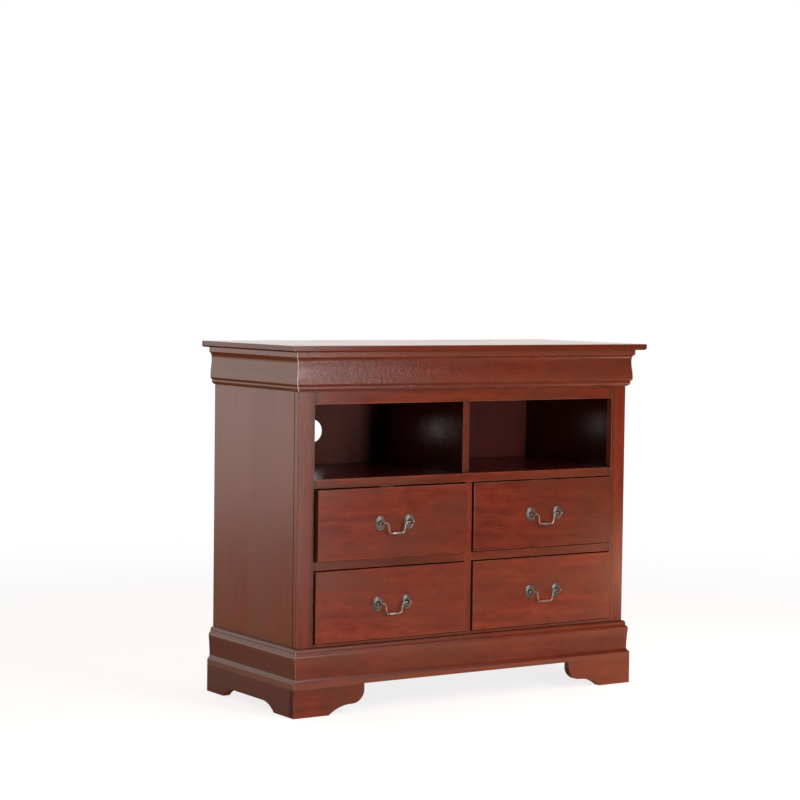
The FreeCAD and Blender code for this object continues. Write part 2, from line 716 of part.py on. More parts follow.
def case_pieces():
    """Every fixed piece of the chest, by node name."""
    full = (-STILE_INSIDE, STILE_INSIDE)
    drawer_rails = []
    tracks = []
    stops = []
    for side in (LEFT, RIGHT):
        x_range = (side * CENTRE_HALF, side * STILE_INSIDE)
        drawer_rails.append(frame_rail(x_range, DRAWER_RAIL_UNDERSIDE, DRAWER_RAIL_TOP))
    for side, rail_top, ceiling, _ in DRAWERS.values():
        tracks.append(drawer_track(side * OPENING_CENTRE, rail_top))
        stops.append(drawer_stop(side * OPENING_CENTRE, rail_top, ceiling))
    return {
        "top_board": top_board(),
        "cornice_front": front_moulding(cornice_outline()),
        "cornice_left": side_moulding(cornice_outline(), LEFT),
        "cornice_right": side_moulding(cornice_outline(), RIGHT),
        "side_panel_left": side_panel(LEFT),
        "side_panel_right": side_panel(RIGHT),
        "stile_left": stile(LEFT),
        "stile_right": stile(RIGHT),
        "top_rail": frame_rail(full, TOP_RAIL_UNDERSIDE, TOP_UNDERSIDE),
        "shelf_rail": frame_rail(full, SHELF_RAIL_UNDERSIDE, SHELF_TOP),
        "centre_stile": frame_rail((-CENTRE_HALF, CENTRE_HALF), BOTTOM_RAIL_TOP,
                                   SHELF_RAIL_UNDERSIDE),
        "drawer_rails": Part.makeCompound(drawer_rails),
        "bottom_rail": frame_rail(full, BOTTOM_RAIL_UNDERSIDE, BOTTOM_RAIL_TOP),
        "shelf_board": shelf_board(),
        "bay_divider": bay_divider(),
        "drawer_partition": drawer_partition(),
        "case_bottom": case_bottom(),
        "back_panel": back_panel(),
        "base_front": front_moulding(base_outline()),
        "base_left": side_moulding(base_outline(), LEFT),
        "base_right": side_moulding(base_outline(), RIGHT),
        "foot_front_left": front_bracket(LEFT),
        "foot_front_right": front_bracket(RIGHT),
        "apron_left": side_apron(LEFT),
        "apron_right": side_apron(RIGHT),
        "glue_blocks": Part.makeCompound(glue_blocks()),
        "drawer_tracks": Part.makeCompound(tracks),
        "drawer_stops": Part.makeCompound(stops),
    }


def main():
    pieces = case_pieces()
    for name, (side, rail_top, ceiling, ajar) in DRAWERS.items():
        for part_name, shape in drawer(side, rail_top, ceiling, ajar).items():
            pieces[name + "_" + part_name] = shape
    os.makedirs("parts", exist_ok=True)
    for name, shape in pieces.items():
        shape.exportStep("parts/" + name + ".step")
    print(len(pieces), "pieces")


main()
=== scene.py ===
"""A cherry television chest with four drawers, finished and lit. Metres, +Z up, -Y in front."""

import math

import bpy
from mathutils import Matrix, Vector


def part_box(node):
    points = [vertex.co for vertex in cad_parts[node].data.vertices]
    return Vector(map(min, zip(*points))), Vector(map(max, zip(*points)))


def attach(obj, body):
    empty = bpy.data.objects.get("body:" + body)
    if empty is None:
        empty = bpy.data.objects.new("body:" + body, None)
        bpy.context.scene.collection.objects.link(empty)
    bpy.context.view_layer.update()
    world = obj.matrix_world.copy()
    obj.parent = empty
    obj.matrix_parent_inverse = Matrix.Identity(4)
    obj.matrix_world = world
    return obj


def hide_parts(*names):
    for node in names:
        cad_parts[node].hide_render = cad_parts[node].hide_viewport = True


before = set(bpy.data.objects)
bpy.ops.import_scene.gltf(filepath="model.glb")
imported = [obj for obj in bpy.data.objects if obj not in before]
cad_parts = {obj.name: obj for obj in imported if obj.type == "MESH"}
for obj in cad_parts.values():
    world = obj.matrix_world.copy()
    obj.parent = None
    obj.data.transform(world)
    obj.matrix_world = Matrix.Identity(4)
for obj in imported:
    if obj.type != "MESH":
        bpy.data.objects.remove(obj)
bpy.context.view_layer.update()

# ---------------------------------------------------------------- studio
# The chest stands on a plain white floor that glows with the light of the room. Soft boxes
# hang overhead, in front and off the left corner, and a low one warms the right. Behind,
# a bright skirting of light ends sharply above the floor, with the wall over it.

WARM = (1.0, 0.87, 0.62, 1.0)
CREAM = (1.0, 0.95, 0.88, 1.0)
PINK = (1.0, 0.92, 0.98, 1.0)
AMBER = (1.0, 0.62, 0.38, 1.0)
BLUSH = (1.0, 0.88, 0.85, 1.0)
WHITE = (1.0, 1.0, 1.0, 1.0)
FLOOR_BAND_GLOW = 0.06
SKIRTING_GLOW = 1.42
WALL_GLOW = 1.24
UPPER_WALL_GLOW = 0.95
NEAR_FLOOR_GLOW = 0.26
# A ray's rise, from -1 straight down to 1 straight up, where each of these begins and ends.
FLOOR_BAND = (-0.24, -0.18)
SKIRTING = (-0.125, -0.080)
WALL = (-0.03, 0.03)
UPPER_WALL = (0.12, 0.25)
NEAR_FLOOR = (-0.08, -0.18)
BLUSH_BAND = (-0.18, -0.12)
CREAM_BAND = (0.10, 0.25)
# The same for a ray's reach backwards.
BEHIND = (0.15, 0.7)
BEFORE = (-0.2, -0.6)
FLOOR_PAINT = (0.42, 0.42, 0.42, 1.0)
FLOOR_GLOW_SEEN = 0.80
FLOOR_GLOW = 0.87
FLOOR_SIZE = 12.0
FLOOR_CORNERS = 64
FLOOR_FADE = (1.5, 3.4)


class Paint:
    """One output of a tree of shader nodes. Arithmetic on it adds Math nodes."""

    def __init__(self, tree, output=None):
        self.tree = tree
        self.output = output

    def node(self, kind, settings, sockets, output=0):
        """Adds a node, sets its settings first and its sockets after, and gives one output."""
        made = self.tree.nodes.new("ShaderNode" + kind)
        for name, value in settings.items():
            setattr(made, name, value)
        for name, value in sockets.items():
            if isinstance(value, Paint):
                self.tree.links.new(value.output, made.inputs[name])
            else:
                made.inputs[name].default_value = value
        return Paint(self.tree, made.outputs[output] if made.outputs else None)

    def maths(self, operation, *values):
        return self.node("Math", {"operation": operation}, dict(enumerate(values)))

    def ramp(self, start, end):
        """Rises smoothly from 0, where this value is start, to 1, where it is end."""
        return self.node("MapRange", {"interpolation_type": "SMOOTHSTEP"},
                         {"Value": self, "From Min": start, "From Max": end})

    def tint(self, first, second):
        """A colour between two, taken by this value."""
        return self.node("Mix", {"data_type": "RGBA"}, {0: self, 6: first, 7: second}, 2)

    def axis(self, letter):
        return self.node("SeparateXYZ", {}, {"Vector": self}, letter)

    def smaller(self, other):
        return self.maths("MINIMUM", self, other)

    def larger(self, other):
        return self.maths("MAXIMUM", self, other)

    def __abs__(self):
        return self.maths("ABSOLUTE", self)

    def __add__(self, other):
        return self.maths("ADD", self, other)

    def __sub__(self, other):
        return self.maths("SUBTRACT", self, other)

    def __rsub__(self, other):
        return self.maths("SUBTRACT", other, self)

    def __mul__(self, other):
        return self.maths("MULTIPLY", self, other)

    __radd__ = __add__
    __rmul__ = __mul__


def soft_box(name, place, target, size, watts, colour=WHITE):
    """A rectangular studio light aimed at a point."""
    lamp = bpy.data.lights.new(name, "AREA")
    lamp.shape = "RECTANGLE"
    lamp.size, lamp.size_y = size
    lamp.energy = watts
    lamp.color = colour[:3]
    holder = bpy.data.objects.new(name, lamp)
    bpy.context.collection.objects.link(holder)
    holder.location = place
    aim = Vector(target) - Vector(place)
    holder.rotation_euler = aim.to_track_quat("-Z", "Y").to_euler()
    return holder


bpy.context.scene.view_settings.view_transform = "Standard"

world = bpy.data.worlds.new("studio")
bpy.context.scene.world = world
world.use_nodes = True
world.node_tree.nodes.clear()
air = Paint(world.node_tree)
ray = air.node("TexCoord", {}, {}, "Generated")
height = ray.axis("Z")
wall = (FLOOR_BAND_GLOW * height.ramp(*FLOOR_BAND)
        + (SKIRTING_GLOW - FLOOR_BAND_GLOW) * height.ramp(*SKIRTING)
        + (WALL_GLOW - SKIRTING_GLOW) * height.ramp(*WALL)
        + (UPPER_WALL_GLOW - WALL_GLOW) * height.ramp(*UPPER_WALL))
near_floor = ray.axis("Y").ramp(*BEFORE) * height.ramp(*NEAR_FLOOR)
room = ray.axis("Y").ramp(*BEHIND) * wall + NEAR_FLOOR_GLOW * near_floor
blush = height.ramp(*BLUSH_BAND).tint(WARM, BLUSH)
cream = height.ramp(*WALL) * (1.0 - height.ramp(*CREAM_BAND))
seen = air.node("LightPath", {}, {}, "Is Camera Ray")
sky = air.node("Background", {}, {
    "Color": seen.tint(cream.tint(blush, CREAM), WHITE),
    "Strength": seen + (1.0 - seen) * room})
air.node("OutputWorld", {}, {"Surface": sky})

soft_box("overhead", (0.2, -0.9, 2.9), (0.1, -0.2, 0.3), (3.4, 2.8), 28.0, CREAM)
soft_box("front_top", (0.45, -2.3, 2.0), (0.0, -0.2, 0.5), (0.8, 0.45), 9.5, CREAM)
soft_box("front", (0.16, -1.9, 0.48), (0.12, 0.0, 0.48), (0.2, 0.8), 7.6, CREAM)
soft_box("front_middle", (0.16, -1.9, 0.72), (0.10, 0.0, 0.72), (0.2, 0.22), 2.0)
soft_box("front_high", (0.43, -1.9, 1.18), (0.43, 0.0, 1.18), (0.16, 0.44), 4.5, PINK)
soft_box("right_low", (1.5, -1.0, 0.12), (0.45, -0.2, 0.1), (0.4, 0.2), 3.3, AMBER)
soft_box("corner", (-2.45, -1.85, 0.9), (-0.5, -0.2, 0.9), (0.2, 1.3), 6.0)

bpy.ops.mesh.primitive_circle_add(vertices=FLOOR_CORNERS, radius=FLOOR_SIZE / 2,
                                  fill_type="NGON")
floor = bpy.context.object
floor.name = "floor"
floor.visible_glossy = False
floor_paint = bpy.data.materials.new("floor_paint")
floor_paint.use_nodes = True
floor_paint.node_tree.nodes.clear()
paint = Paint(floor_paint.node_tree)
spot = paint.node("TexCoord", {}, {}, "Object")
away = paint.node("VectorMath", {"operation": "LENGTH"}, {0: spot}, "Value")
matt = paint.node("BsdfDiffuse", {}, {"Color": FLOOR_PAINT})
seen = paint.node("LightPath", {}, {}, "Is Camera Ray")
lit = paint.node("Emission", {}, {
    "Strength": FLOOR_GLOW + (FLOOR_GLOW_SEEN - FLOOR_GLOW) * seen})
matt = paint.node("AddShader", {}, {0: matt, 1: lit})
clear = paint.node("BsdfTransparent", {}, {})
faded = paint.node("MixShader", {}, {0: away.ramp(*FLOOR_FADE), 1: matt, 2: clear})
paint.node("OutputMaterial", {}, {"Surface": faded})
floor.data.materials.append(floor_paint)

# ---------------------------------------------------------------- camera
# A long lens a little above the top, off the left front corner. It looks slightly down
# and leans by less than a degree.

CAMERA_PLACE = Vector((-3.1933, -4.7469, 1.0389))
CAMERA_YAW = math.radians(33.218)
CAMERA_PITCH = math.radians(2.987)
CAMERA_ROLL = math.radians(0.729)
CAMERA_LENS = 100.6
CAMERA_SENSOR = 36.0

ahead = Vector((math.sin(CAMERA_YAW) * math.cos(CAMERA_PITCH),
                math.cos(CAMERA_YAW) * math.cos(CAMERA_PITCH),
                -math.sin(CAMERA_PITCH)))
level = Vector((math.cos(CAMERA_YAW), -math.sin(CAMERA_YAW), 0.0))
upright = level.cross(ahead)
rightward = level * math.cos(CAMERA_ROLL) + upright * math.sin(CAMERA_ROLL)
upward = upright * math.cos(CAMERA_ROLL) - level * math.sin(CAMERA_ROLL)
turn = Matrix((rightward, upward, -ahead)).transposed().to_4x4()
camera = bpy.data.objects.new("camera", bpy.data.cameras.new("camera"))
bpy.context.collection.objects.link(camera)
camera.matrix_world = Matrix.Translation(CAMERA_PLACE) @ turn
camera.data.lens = CAMERA_LENS
camera.data.sensor_width = CAMERA_SENSOR
bpy.context.scene.camera = camera

# ---------------------------------------------------------------- case sides
# Two cherry boards with upright grain, stained brown under satin lacquer and dark inside,
# where painted shade darkens the stain. Each is glued behind its stile, and the joint shows
# as a fine dark line. Lines of painted shade lie under the cornice and above the base.

X, Y, Z = 0, 1, 2
LETTERS = "XYZ"
SIDES = (("left", -1), ("right", 1))
ARRIS = 0.0007
ARRIS_SEGMENTS = 2
WELD = 0.000002
FLAT = math.radians(0.5)
SMOOTH = math.radians(50)
# The features of the wood and of its lacquer, across.
CLOUD = 0.110
PATCH = 0.050
MOTTLE = 0.018
BAND = 0.036
STREAK = 0.012
FIBRE = 0.0016
RIPPLE = 0.017
CHIP = 0.005
# The part of a noise's range that each feature is drawn from.
SPREAD = (0.28, 0.72)
PATCH_SPREAD = (0.22, 0.78)
MOTTLE_SPREAD = (0.24, 0.76)
CHIP_SPREAD = (0.68, 0.72)
NOISE_ROUGHNESS = 0.58
# Each board's figure starts at a place of its own.
OWN_START = 6.3
OWN_TWIST = 3.1
ALONG_GRAIN = 16.0
RIPPLE_ALONG = 0.6
RIPPLE_DEPTH = 0.0006
WAVE_RADIANS = 10.0
WAVE_DISTORTION = 7.0
COAT_ROUGHNESS = 0.12
# The reach of each trace of the finishing and of use, and of the painted shade and highlights, and
# how strongly it shows.
CLOUD_STRENGTH = 0.70
POOL_WIDTH = 0.014
END_STRENGTH = 0.80
SEAM_WIDTH = 0.0018
SEAM_STRENGTH = 0.95
MITRE_WIDTH = 0.0027
MITRE_STRENGTH = 0.80
LINE_CORE = 0.4
RUBBED_EDGE = (0.0005, 0.0020)
RUBBED_STRENGTH = 0.50
CHIPPED_EDGE = (0.0012, 0.0022)
CHIP_STRENGTH = 0.80
ROSETTE_WIDTH = 0.029
ROSETTE_HEIGHT = 0.036
# The reach and strength of the ring of painted shade round each rosette.
WAX_AND_SHADE_REACH = 1.18
WAX_AND_SHADE_STRENGTH = 0.75
# How far a face is turned towards a direction, from nearly across it to nearly along it.
TURNED = (0.2, 0.5)
ACROSS = (0.3, 0.6)
END_ON = (0.6, 0.9)
# Pointiness on the rounds and in the hollows of a moulding.
ROUNDS = (0.52, 0.60)
ROUND_STRENGTH = 0.30
HOLLOWS = (0.41, 0.495)
HOLLOW_STRENGTH = 0.85
# A finish: the two tones of the stained figure and its clouds, then the colours where stain
# pools, on end grain and on worn edges, which is also the painted highlight along the base's
# mitre, and the gloss and the weight of the lacquer.
OUTSIDE = {"deep": (0.130, 0.0130, 0.0058, 1.0), "bright": (0.264, 0.0370, 0.0148, 1.0),
           "cloud": (0.124, 0.0240, 0.0102, 1.0), "pool": (0.070, 0.0190, 0.0090, 1.0),
           "end": (0.062, 0.0140, 0.0070, 1.0), "worn_and_sheen": (0.420, 0.1500, 0.0850, 1.0),
           "roughness": 0.215, "coat": 0.30}
BROWN = dict(OUTSIDE, deep=(0.190, 0.0400, 0.0140, 1.0), bright=(0.262, 0.0590, 0.0205, 1.0),
             cloud=(0.196, 0.0560, 0.0200, 1.0), roughness=0.185)
# The inside's stain, made darker still as painted shade for the dim bays.
INSIDE_STAIN_AND_SHADE = {"deep": (0.032, 0.0016, 0.0008, 1.0), "bright": (0.070, 0.0040, 0.0020, 1.0),
          "cloud": (0.018, 0.0022, 0.0014, 1.0), "pool": (0.012, 0.0040, 0.0030, 1.0),
          "end": (0.012, 0.0040, 0.0030, 1.0), "worn_and_sheen": (0.090, 0.0300, 0.0190, 1.0),
          "roughness": 0.22, "coat": 0.05}
# Glaze, dark in the joints. The same colour is painted shade in the hollows of the mouldings, in
# the lines under the cornice and above the base, and in the rings round the rosettes.
GLAZE_AND_SHADE = (0.010, 0.0040, 0.0030, 1.0)
CALM = 0.04
# Along the mitres of both front corners, |x| + y has this value.
frame_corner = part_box("stile_left")[0]
MITRE = frame_corner.y - frame_corner.x


def new_material(name):
    """An empty material and the paint that adds its nodes."""
    material = bpy.data.materials.new(name)
    material.use_nodes = True
    material.node_tree.nodes.clear()
    return material, Paint(material.node_tree)


def noise(paint, vector, feature, detail=3.0, distortion=0.0):
    """Cloudy noise from 0 to 1, with features about this many metres across."""
    return paint.node("TexNoise", {}, {"Vector": vector, "Scale": 1.0 / feature, "Detail": detail,
                                       "Roughness": NOISE_ROUGHNESS, "Distortion": distortion})


def stretched(paint, place, grain, own, stretch):
    """A board's place drawn out along its grain, from a start of its own."""
    scale = [1.0, 1.0, 1.0]
    scale[grain] = 1.0 / stretch
    return paint.node("Mapping", {}, {"Vector": place, "Location": own, "Scale": scale})


def figure(paint, node, place, grain, drawn_out):
    """A board's own tone and clouds, from 0 to 1, and the relief of its lacquer."""
    low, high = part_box(node)
    own = (low + high) * OWN_START + Vector((low.z, low.x, high.y)) * OWN_TWIST
    along = stretched(paint, place, grain, own, ALONG_GRAIN)
    drawn = stretched(paint, place, grain, own, drawn_out)
    clouds = noise(paint, drawn, CLOUD, 4.0, 0.3).ramp(*SPREAD)
    patches = noise(paint, drawn, PATCH, 5.0, 0.4).ramp(*PATCH_SPREAD)
    mottle = noise(paint, drawn, MOTTLE, 5.0, 0.3).ramp(*MOTTLE_SPREAD)
    bands = paint.node("TexWave", {"bands_direction": "DIAGONAL"}, {
        "Vector": along, "Scale": math.tau / WAVE_RADIANS / BAND,
        "Distortion": WAVE_DISTORTION, "Detail": 3.0,
        "Detail Scale": 0.35, "Detail Roughness": 0.6}, "Fac")
    streaks = noise(paint, along, STREAK, 4.0, 0.9).ramp(*SPREAD)
    fibres = noise(paint, along, FIBRE).ramp(*SPREAD)
    tone = 0.25 * patches + 0.29 * mottle + 0.12 * bands + 0.22 * streaks + 0.12 * fibres
    ripples = noise(paint, stretched(paint, place, grain, own, RIPPLE_ALONG), RIPPLE, 2.0)
    relief = 0.35 * fibres + 0.30 * streaks + 2.0 * ripples
    return tone, clouds, relief


def stained(finish, tone, clouds):
    """A finish's colour by tone, browner in the clouds."""
    base = tone.tint(finish["deep"], finish["bright"])
    return (clouds * CLOUD_STRENGTH).tint(base, finish["cloud"])


def wood(node, grain, finish, shade=1.0, contrast=1.0, drawn_out=2.2, face=None, seams=(),
         lines=(), pools=(), ends=True, moulded=False, mitre=GLAZE_AND_SHADE, rosettes=(), ripple=0.15):
    """The finish of one board, with its own figure.

    shade makes the board paler or deeper than its neighbours, contrast is the strength
    of its figure and drawn_out is how far its clouds run with the grain. face is (axis,
    sign, finish) for a side that is finished in another way. seams and pools are (axis,
    side) pairs of the board's faces: glaze lies in a fine line at a seam, and the stain
    is darker in a band at a pool. lines are (axis, metres) pairs for fine lines of painted
    shade elsewhere, as under the cornice and above the base.
    ends is false where no end grain shows. moulded is true for a run moulding, which is
    darkened in its hollows with glaze and painted shade and rubbed on its rounds, and mitre
    is the colour along its mitres: a painted highlight on the fronts of the cornice and the
    base, and dark glaze on the sides. A plain board is rubbed on its arrises. A ring of
    painted shade, in the colour of old wax, darkens round each of the rosettes, given as
    (x, z). ripple is the strength of the waves in the lacquer.
    """
    finish = dict(finish)
    for part in ("deep", "bright", "cloud"):
        finish[part] = tuple(shade * share for share in finish[part][:3]) + (1.0,)
    material, paint = new_material(node + "_wood")
    low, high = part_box(node)
    place = paint.node("TexCoord", {}, {}, "Object")
    normal = paint.node("TexCoord", {}, {}, "Normal")
    tone, clouds, relief = figure(paint, node, place, grain, drawn_out)
    tone = contrast * tone + 0.5 * (1.0 - contrast)
    colour = stained(finish, tone, clouds)
    matt, coat = finish["roughness"], finish["coat"]
    if face:
        axis, sign, other = face
        turned = (normal.axis(LETTERS[axis]) * sign).ramp(*TURNED)
        colour = turned.tint(colour, stained(other, tone, clouds))
        matt = matt + (other["roughness"] - matt) * turned
        coat = coat + (other["coat"] - coat) * turned
    if ends:
        cut = abs(normal.axis(LETTERS[grain])).ramp(*END_ON)
        colour = (cut * END_STRENGTH).tint(colour, finish["end"])
    for axis, side in pools:
        depth = abs(place.axis(LETTERS[axis]) - (high if side > 0 else low)[axis])
        pool = (1.0 - depth.ramp(0.0, POOL_WIDTH)) * (0.60 + 0.40 * clouds)
        across = abs(normal.axis(LETTERS[axis])).ramp(*ACROSS)
        colour = (pool * (1.0 - across)).tint(colour, finish["pool"])
    if moulded:
        # Rubbed lighter on the rounds. Darker in the hollows, with glaze and with painted shade
        # where shade gathers.
        bend = paint.node("NewGeometry", {}, {}, "Pointiness")
        colour = (bend.ramp(*ROUNDS) * ROUND_STRENGTH).tint(colour, finish["worn_and_sheen"])
        colour = ((1.0 - bend.ramp(*HOLLOWS)) * HOLLOW_STRENGTH).tint(colour, GLAZE_AND_SHADE)
        # Along the mitre, a line in the mitre colour. It is a painted highlight on the cornice's
        # front, part wear and part painted highlight on the base's front, and a dark joint on the
        # side pieces.
        apart = abs(abs(place.axis("X")) + place.axis("Y") - MITRE)
        line = 1.0 - apart.ramp(LINE_CORE * MITRE_WIDTH, MITRE_WIDTH)
        colour = (line * MITRE_STRENGTH).tint(colour, mitre)
    else:
        near = []
        for index, letter in enumerate(LETTERS):
            spot = place.axis(letter)
            near.append((spot - low[index]).smaller(high[index] - spot))
        pairs = [near[first].larger(near[second]) for first, second in ((X, Y), (Y, Z), (X, Z))]
        edge = pairs[0].smaller(pairs[1]).smaller(pairs[2])
        rubbed = (1.0 - edge.ramp(*RUBBED_EDGE)) * (0.15 + 0.85 * tone)
        colour = (rubbed * RUBBED_STRENGTH).tint(colour, finish["worn_and_sheen"])
        chips = noise(paint, place, CHIP, 2.0).ramp(*CHIP_SPREAD)
        chips = chips * (1.0 - edge.ramp(*CHIPPED_EDGE))
        colour = (chips * CHIP_STRENGTH).tint(colour, finish["worn_and_sheen"])
    # Painted shade in a ring round each rosette, in the colour of old wax, standing in for the
    # rosette's contact shadow.
    for across, up in rosettes:
        wide, tall = 2.0 / ROSETTE_WIDTH, 2.0 / ROSETTE_HEIGHT
        spot = paint.node("Mapping", {}, {"Vector": place, "Scale": (wide, 0.0, tall),
                                          "Location": (-across * wide, 0.0, -up * tall)})
        ring = paint.node("VectorMath", {"operation": "LENGTH"}, {0: spot}, "Value")
        colour = ((1.0 - ring.ramp(1.0, WAX_AND_SHADE_REACH)) * WAX_AND_SHADE_STRENGTH).tint(colour, GLAZE_AND_SHADE)
    # Glaze in a fine line at each seam. The lines given are painted shade, in a like line.
    joints = [(axis, (high if side > 0 else low)[axis]) for axis, side in seams]
    for axis, level in joints + list(lines):
        depth = abs(place.axis(LETTERS[axis]) - level)
        line = 1.0 - depth.ramp(LINE_CORE * SEAM_WIDTH, SEAM_WIDTH)
        colour = (line * SEAM_STRENGTH).tint(colour, GLAZE_AND_SHADE)
    bump = paint.node("Bump", {}, {"Strength": ripple, "Distance": RIPPLE_DEPTH,
                                   "Height": relief})
    surface = paint.node("BsdfPrincipled", {}, {
        "Base Color": colour, "Normal": bump,
        "Roughness": matt + 0.06 * clouds + 0.02 * (1.0 - tone),
        "Coat Weight": coat, "Coat Roughness": COAT_ROUGHNESS})
    paint.node("OutputMaterial", {}, {"Surface": surface})
    return material


def rounded(node, arris=ARRIS):
    """A new piece from a node's mesh: welded, its flats made whole and its arrises rounded."""
    bpy.ops.object.select_all(action="DESELECT")
    piece = bpy.data.objects.new(node + "_piece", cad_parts[node].data.copy())
    bpy.context.collection.objects.link(piece)
    bpy.context.view_layer.objects.active = piece
    piece.select_set(True)
    bpy.ops.mesh.customdata_custom_splitnormals_clear()
    bpy.ops.object.mode_set(mode="EDIT")
    bpy.ops.mesh.select_all(action="SELECT")
    bpy.ops.mesh.remove_doubles(threshold=WELD)
    bpy.ops.mesh.dissolve_limited(angle_limit=FLAT)
    bpy.ops.object.mode_set(mode="OBJECT")
    bpy.ops.object.modifier_add(type="BEVEL")
    piece.modifiers[0].width = arris
    piece.modifiers[0].segments = ARRIS_SEGMENTS
    bpy.ops.object.modifier_apply(modifier=piece.modifiers[0].name)
    bpy.ops.object.shade_smooth_by_angle(angle=SMOOTH)
    bpy.ops.object.modifier_add(type="WEIGHTED_NORMAL")
    piece.modifiers[0].keep_sharp = True
    bpy.ops.object.modifier_apply(modifier=piece.modifiers[0].name)
    return piece


def fitted(piece, body, slot, material, *nodes):
    """Gives a piece its material and the body that it moves with, and hides the nodes it stands
    for.
    """
    piece.data.materials.clear()
    piece.data.materials.append(material)
    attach(piece, body)
    if nodes:
        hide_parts(*nodes)
    return piece


def case_board(node, slot, grain, finish, **details):
    """One wooden piece of the case, in a finish of its own."""
    fitted(rounded(node), "case", slot, wood(node, grain, finish, **details), node)


# Fine lines of painted shade under the cornice and above the base.
SHADE_UNDER_CORNICE = (Z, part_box("cornice_left")[0].z)
SHADE_ABOVE_BASE = (Z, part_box("base_left")[1].z)

for side, sign in SIDES:
    case_board("side_panel_" + side, "case_cherry", Z, BROWN, contrast=0.9, drawn_out=9.0,
               face=(X, -sign, INSIDE_STAIN_AND_SHADE), seams=[(Y, -1)], lines=[SHADE_UNDER_CORNICE, SHADE_ABOVE_BASE],
               ripple=CALM)

# ---------------------------------------------------------------- face frame
# Stiles, rails and the stile between the drawers: solid cherry, butted and glued flush.
# Glaze has settled in the joints, and stain has pooled along the openings.
# Lines of painted shade lie under the cornice and above the base.

FRAME = dict(OUTSIDE, deep=(0.118, 0.0170, 0.0075, 1.0), bright=(0.290, 0.0400, 0.0155, 1.0),
             cloud=(0.126, 0.0310, 0.0130, 1.0))
STILE_SHADES = {"left": 1.03, "right": 0.97}

for side, sign in SIDES:
    case_board("stile_" + side, "case_cherry", Z, OUTSIDE, shade=STILE_SHADES[side],
               contrast=1.5, drawn_out=6.0, face=(X, sign, BROWN), seams=[(Y, 1)],
               lines=[SHADE_UNDER_CORNICE, SHADE_ABOVE_BASE], pools=[(X, -sign)])
for rail in ("top_rail", "shelf_rail", "bottom_rail", "drawer_rails"):
    case_board(rail, "case_cherry", X, FRAME, shade=0.90, contrast=1.7, drawn_out=3.5,
               seams=[(X, -1), (X, 1)], lines=[SHADE_UNDER_CORNICE, SHADE_ABOVE_BASE],
               pools=[(X, -1), (X, 1)])
case_board("centre_stile", "case_cherry", Z, FRAME, contrast=1.5, drawn_out=5.0,
           seams=[(Z, -1), (Z, 1)], pools=[(Z, 1)])

# ---------------------------------------------------------------- inside of the case
# The shelf, the bottom and the two uprights are stained darker and lacquered smooth,
# and painted shade makes them darker still, the shelf less so, as little light reaches the bays.
# Only the front edge of the divider has the outside colour.

EDGE = dict(OUTSIDE, deep=(0.078, 0.0120, 0.0058, 1.0), bright=(0.185, 0.0280, 0.0125, 1.0))

case_board("bay_divider", "inside_cherry", Z, INSIDE_STAIN_AND_SHADE, face=(Y, -1, EDGE))
case_board("shelf_board", "inside_cherry", X, INSIDE_STAIN_AND_SHADE, shade=1.6)
case_board("drawer_partition", "inside_cherry", Z, INSIDE_STAIN_AND_SHADE)
case_board("case_bottom", "inside_cherry", X, INSIDE_STAIN_AND_SHADE)

# ---------------------------------------------------------------- back
# A sheet of thin plywood let into the rabbets of the sides, stained on its inner face
# and bare behind. Staples hold it all round.

BACK_INNER = {"deep": (0.100, 0.0080, 0.0050, 1.0), "bright": (0.180, 0.0160, 0.0100, 1.0),
              "cloud": (0.110, 0.0120, 0.0080, 1.0), "pool": (0.030, 0.0100, 0.0080, 1.0),
              "end": (0.030, 0.0100, 0.0080, 1.0), "worn_and_sheen": (0.120, 0.0500, 0.0350, 1.0),
              "roughness": 0.55, "coat": 0.0}
BARE_PLY = {"deep": (0.330, 0.1950, 0.1080, 1.0), "bright": (0.470, 0.3050, 0.1850, 1.0),
            "cloud": (0.390, 0.2200, 0.1300, 1.0), "pool": (0.250, 0.1400, 0.0800, 1.0),
            "end": (0.220, 0.1250, 0.0700, 1.0), "worn_and_sheen": (0.520, 0.3600, 0.2300, 1.0),
            "roughness": 0.62, "coat": 0.0}

case_board("back_panel", "back_board", Z, BACK_INNER, face=(Y, 1, BARE_PLY))

# ---------------------------------------------------------------- top
# A wide cherry board with a chamfer below its overhanging edge, screwed down from inside
# and lacquered almost without ripples.

STILL = 0.004

case_board("top_board", "top_cherry", X, OUTSIDE, shade=0.82, contrast=0.6, ends=False,
           ripple=STILL)

# ---------------------------------------------------------------- mouldings and feet
# The cornice and the base are cherry mouldings, mitred at the front corners and glued
# round the case. The feet are scroll-cut boards under the base, duller where they are low.

# A painted highlight along the front mitre of the cornice.
SHEEN = (0.800, 0.6900, 0.6500, 1.0)
SATIN_BROWN = dict(BROWN, deep=(0.190, 0.0340, 0.0105, 1.0), bright=(0.262, 0.0520, 0.0160, 1.0),
                   cloud=(0.196, 0.0490, 0.0160, 1.0), roughness=0.270)

# Along its front mitre the cornice has a painted highlight. The base has its worn colour there,
# part wear and part painted highlight.
for moulding, shade, brown, side_shade, mitre, ripple in (
        ("cornice", 0.76, BROWN, 0.95, SHEEN, 0.60),
        ("base", 0.82, SATIN_BROWN, 0.62, OUTSIDE["worn_and_sheen"], 0.30)):
    case_board(moulding + "_front", "moulding_cherry", X, OUTSIDE, shade=shade, contrast=1.6,
               moulded=True, mitre=mitre, ripple=ripple)
    for side in ("left", "right"):
        case_board(moulding + "_" + side, "moulding_cherry", Y, brown, shade=side_shade,
                   contrast=0.9, drawn_out=8.0, moulded=True, ripple=CALM)
